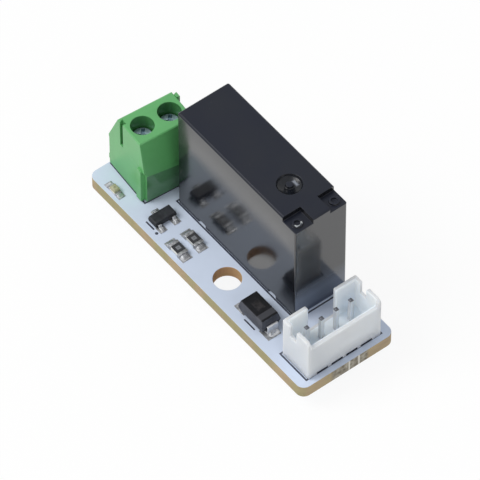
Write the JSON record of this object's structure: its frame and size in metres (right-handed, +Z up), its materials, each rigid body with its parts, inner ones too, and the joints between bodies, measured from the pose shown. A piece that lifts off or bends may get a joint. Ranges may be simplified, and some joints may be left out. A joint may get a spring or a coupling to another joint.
{
  "type": "relay module board",
  "caption": "Narrow white circuit board with a slim black relay, a green screw terminal, a white pin header and small chip parts.",
  "frame": {"origin": "centre of the fixing hole on the board's underside", "axes": "+X along the board from the screw terminal to the pin header, +Y across the board towards the relay, +Z up out of the parts side"},
  "size_m": [0.0377, 0.0127, 0.0186],
  "materials": {
    "board_lacquer": "white solder mask over tan glass laminate, satin gloss",
    "tinned_pad": "tinned copper, semi bright",
    "solder": "bright solder with a wetted surface",
    "dark_print": "dark navy screen print",
    "green_plastic": "moulded green polyamide, satin",
    "screw_steel": "zinc plated, bright",
    "cage_steel": "nickel plated",
    "tinned_brass": "tin plated brass",
    "black_case": "gloss black sides, satin roof with fine dust",
    "black_plug": "black moulded",
    "bobbin_plastic": "natural moulded",
    "copper_wire": "lacquered copper winding",
    "coil_iron": "nickel plated soft iron",
    "spring_bronze": "phosphor bronze strip",
    "contact_silver": "silver alloy, matt",
    "natural_nylon": "natural white nylon, slightly translucent",
    "pin_tin": "tin plated",
    "black_epoxy": "black moulding compound",
    "resistor_glaze": "black glaze on a white ceramic chip",
    "led_white": "white base",
    "led_clear": "pale yellow clear epoxy"
  },
  "bodies": {
    "module": {"circuit_board": "board_lacquer", "chip_pads": "tinned_pad", "ring_pads": "tinned_pad", "legend_print": "dark_print", "terminal_housing": "green_plastic", "contact_post_1": "tinned_brass", "contact_post_2": "tinned_brass", "terminal_solder": "solder", "relay_case": "black_case", "relay_plug": "black_plug", "coil_bobbin": "bobbin_plastic", "coil_winding": "copper_wire", "coil_core": "coil_iron", "relay_yoke": "coil_iron", "fixed_contact": "contact_silver", "contact_arm": "spring_bronze", "coil_pin_1": "pin_tin", "coil_pin_2": "pin_tin", "common_pin": "pin_tin", "relay_solder": "solder", "header_housing": "natural_nylon", "header_pin_1": "pin_tin", "header_pin_2": "pin_tin", "header_pin_3": "pin_tin", "header_pin_4": "pin_tin", "header_solder": "solder", "transistor_body": "black_epoxy", "transistor_legs": "pin_tin", "resistor_1_body": "resistor_glaze", "resistor_1_caps": "solder", "resistor_2_body": "resistor_glaze", "resistor_2_caps": "solder", "diode_body": "black_epoxy", "diode_leads": "pin_tin", "led_base": "led_white", "led_caps": "solder", "led_lens": "led_clear", "chip_solder": "solder"},
    "screw_1": {"terminal_screw_1": "screw_steel"},
    "screw_2": {"terminal_screw_2": "screw_steel"},
    "cage_1": {"wire_cage_1": "cage_steel"},
    "cage_2": {"wire_cage_2": "cage_steel"},
    "armature": {"relay_armature": "coil_iron", "contact_spring": "spring_bronze", "moving_contact": "contact_silver"}
  },
  "joints": [
    {"name": "screw_1_turn", "type": "hinge", "parent": "module", "child": "screw_1", "pos_m": [-0.01649, 0.00124, 0.00809], "axis": [0, 0, -1], "range_deg": [0, 990]},
    {"name": "cage_1_rise", "type": "slide", "parent": "module", "child": "cage_1", "axis": [0, 0, 1], "range_m": [0, 0.0011]},
    {"name": "screw_2_turn", "type": "hinge", "parent": "module", "child": "screw_2", "pos_m": [-0.01623, 0.00473, 0.00809], "axis": [0, 0, -1], "range_deg": [0, 990]},
    {"name": "cage_2_rise", "type": "slide", "parent": "module", "child": "cage_2", "axis": [0, 0, 1], "range_m": [0, 0.0011]},
    {"name": "armature_rock", "type": "hinge", "parent": "module", "child": "armature", "pos_m": [0.00548, 0.00586, 0.01355], "axis": [0, -1, 0], "range_deg": [0, 2.8], "stiffness_Nm_per_rad": 0.004, "springref_deg": -5.73}
  ],
  "couplings": [
    {"joint": "screw_1_turn", "follows": "cage_1_rise", "rad_per_m": 15700},
    {"joint": "screw_2_turn", "follows": "cage_2_rise", "rad_per_m": 15700}
  ]
}
